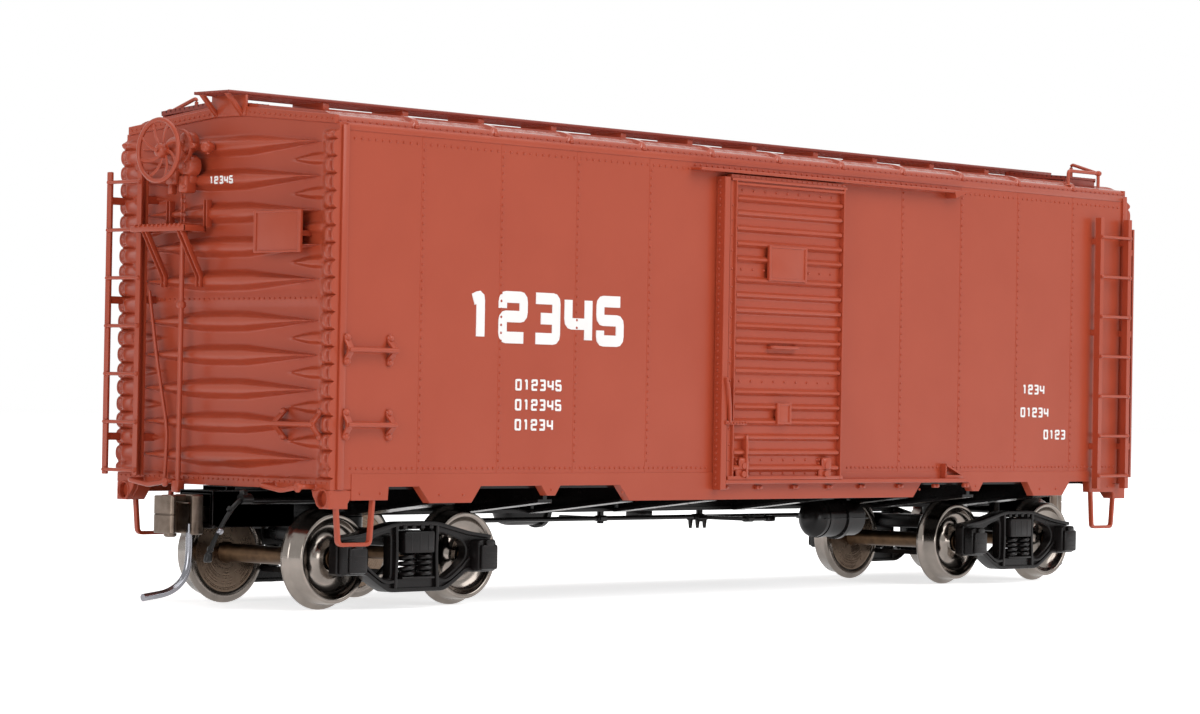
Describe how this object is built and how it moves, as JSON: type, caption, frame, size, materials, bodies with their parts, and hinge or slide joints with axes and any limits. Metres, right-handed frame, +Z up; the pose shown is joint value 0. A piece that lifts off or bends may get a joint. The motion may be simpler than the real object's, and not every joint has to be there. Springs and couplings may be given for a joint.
{
  "type": "railroad boxcar scale model",
  "caption": "HO scale model of a 40-foot steel boxcar with sliding doors, swivelling trucks, turning wheelsets and knuckle couplers",
  "frame": {"origin": "bottom centre of the bounding box: under the middle of the car, at the bottom of the wheel flanges", "axes": "+X along the car towards the end without the hand brake, +Y towards the left side, +Z up"},
  "size_m": [0.1648, 0.0378, 0.0543],
  "materials": {
    "body_paint": "satin oxide red",
    "black_plastic": "satin black",
    "steel": "plain",
    "axle_metal": "browned",
    "wheel_metal": "turned",
    "coupler_metal": "cast",
    "hose_rubber": "matt"
  },
  "bodies": {
    "carbody": {"floor": "black_plastic", "floor_deck": "black_plastic", "steel_weight": "steel", "side_right": "body_paint", "side_left": "body_paint", "end_brake": "body_paint", "end_plain": "body_paint", "corner_castings": "body_paint", "roof": "body_paint", "running_board": "body_paint", "running_board_supports": "body_paint", "lateral_boards": "body_paint", "grab_irons": "body_paint", "ladders": "body_paint", "sill_steps": "body_paint", "brake_wheel": "body_paint", "brake_housing": "body_paint", "brake_step": "body_paint", "brake_rod": "body_paint", "retainer_valve": "body_paint", "placard_boards": "body_paint", "upper_door_tracks": "body_paint", "lower_door_tracks": "body_paint", "end_sill_grabs": "body_paint", "center_sill": "black_plastic", "body_bolsters": "black_plastic", "crossbearers": "black_plastic", "brake_cylinder": "black_plastic", "air_reservoir": "black_plastic", "control_valve": "black_plastic", "brake_rigging": "black_plastic", "train_pipe": "black_plastic", "draft_gear_boxes": "black_plastic", "air_hoses": "hose_rubber", "truck_screws": "steel"},
    "door_right_body": {"door_right": "body_paint", "door_right_hardware": "body_paint"},
    "door_left_body": {"door_left": "body_paint", "door_left_hardware": "body_paint"},
    "truck_b": {"truck_b_bolster": "black_plastic", "truck_b_frames": "black_plastic", "truck_b_springs": "steel", "truck_b_brake_beams": "black_plastic"},
    "truck_a": {"truck_a_bolster": "black_plastic", "truck_a_frames": "black_plastic", "truck_a_springs": "steel", "truck_a_brake_beams": "black_plastic"},
    "wheelset_1": {"wheelset_1_axle": "axle_metal", "wheelset_1_wheels": "wheel_metal"},
    "wheelset_2": {"wheelset_2_axle": "axle_metal", "wheelset_2_wheels": "wheel_metal"},
    "wheelset_3": {"wheelset_3_axle": "axle_metal", "wheelset_3_wheels": "wheel_metal"},
    "wheelset_4": {"wheelset_4_axle": "axle_metal", "wheelset_4_wheels": "wheel_metal"},
    "coupler_b_body": {"coupler_b": "coupler_metal"},
    "knuckle_b": {"coupler_b_knuckle": "coupler_metal"},
    "coupler_a_body": {"coupler_a": "coupler_metal"},
    "knuckle_a": {"coupler_a_knuckle": "coupler_metal"}
  },
  "joints": [
    {"name": "truck_b_swivel", "type": "hinge", "parent": "carbody", "child": "truck_b", "pos_m": [-0.05395, 0, 0.0096], "axis": [0, 0, 1], "range_deg": [-12, 12]},
    {"name": "truck_a_swivel", "type": "hinge", "parent": "carbody", "child": "truck_a", "pos_m": [0.05395, 0, 0.0096], "axis": [0, 0, 1], "range_deg": [-12, 12]},
    {"name": "wheelset_1_spin", "type": "hinge", "parent": "truck_b", "child": "wheelset_1", "pos_m": [-0.06365, 0, 0.00545], "axis": [0, 1, 0], "continuous": true},
    {"name": "wheelset_2_spin", "type": "hinge", "parent": "truck_b", "child": "wheelset_2", "pos_m": [-0.04425, 0, 0.00545], "axis": [0, 1, 0], "continuous": true},
    {"name": "wheelset_3_spin", "type": "hinge", "parent": "truck_a", "child": "wheelset_3", "pos_m": [0.04425, 0, 0.00545], "axis": [0, 1, 0], "continuous": true},
    {"name": "wheelset_4_spin", "type": "hinge", "parent": "truck_a", "child": "wheelset_4", "pos_m": [0.06365, 0, 0.00545], "axis": [0, 1, 0], "continuous": true},
    {"name": "coupler_b_swing", "type": "hinge", "parent": "carbody", "child": "coupler_b_body", "pos_m": [-0.0654, 0, 0.00995], "axis": [0, 0, 1], "range_deg": [-8, 8], "stiffness_Nm_per_rad": 0.002},
    {"name": "knuckle_b_open", "type": "hinge", "parent": "coupler_b_body", "child": "knuckle_b", "pos_m": [-0.077, 0.0009, 0.00995], "axis": [0, 0, -1], "range_deg": [0, 35], "stiffness_Nm_per_rad": 0.0005},
    {"name": "coupler_a_swing", "type": "hinge", "parent": "carbody", "child": "coupler_a_body", "pos_m": [0.0654, 0, 0.00995], "axis": [0, 0, 1], "range_deg": [-8, 8], "stiffness_Nm_per_rad": 0.002},
    {"name": "knuckle_a_open", "type": "hinge", "parent": "coupler_a_body", "child": "knuckle_a", "pos_m": [0.077, -0.0009, 0.00995], "axis": [0, 0, -1], "range_deg": [0, 35], "stiffness_Nm_per_rad": 0.0005},
    {"name": "door_right_slide", "type": "slide", "parent": "carbody", "child": "door_right_body", "axis": [1, 0, 0], "range_m": [0, 0.0205]},
    {"name": "door_left_slide", "type": "slide", "parent": "carbody", "child": "door_left_body", "axis": [-1, 0, 0], "range_m": [0, 0.0205]}
  ]
}
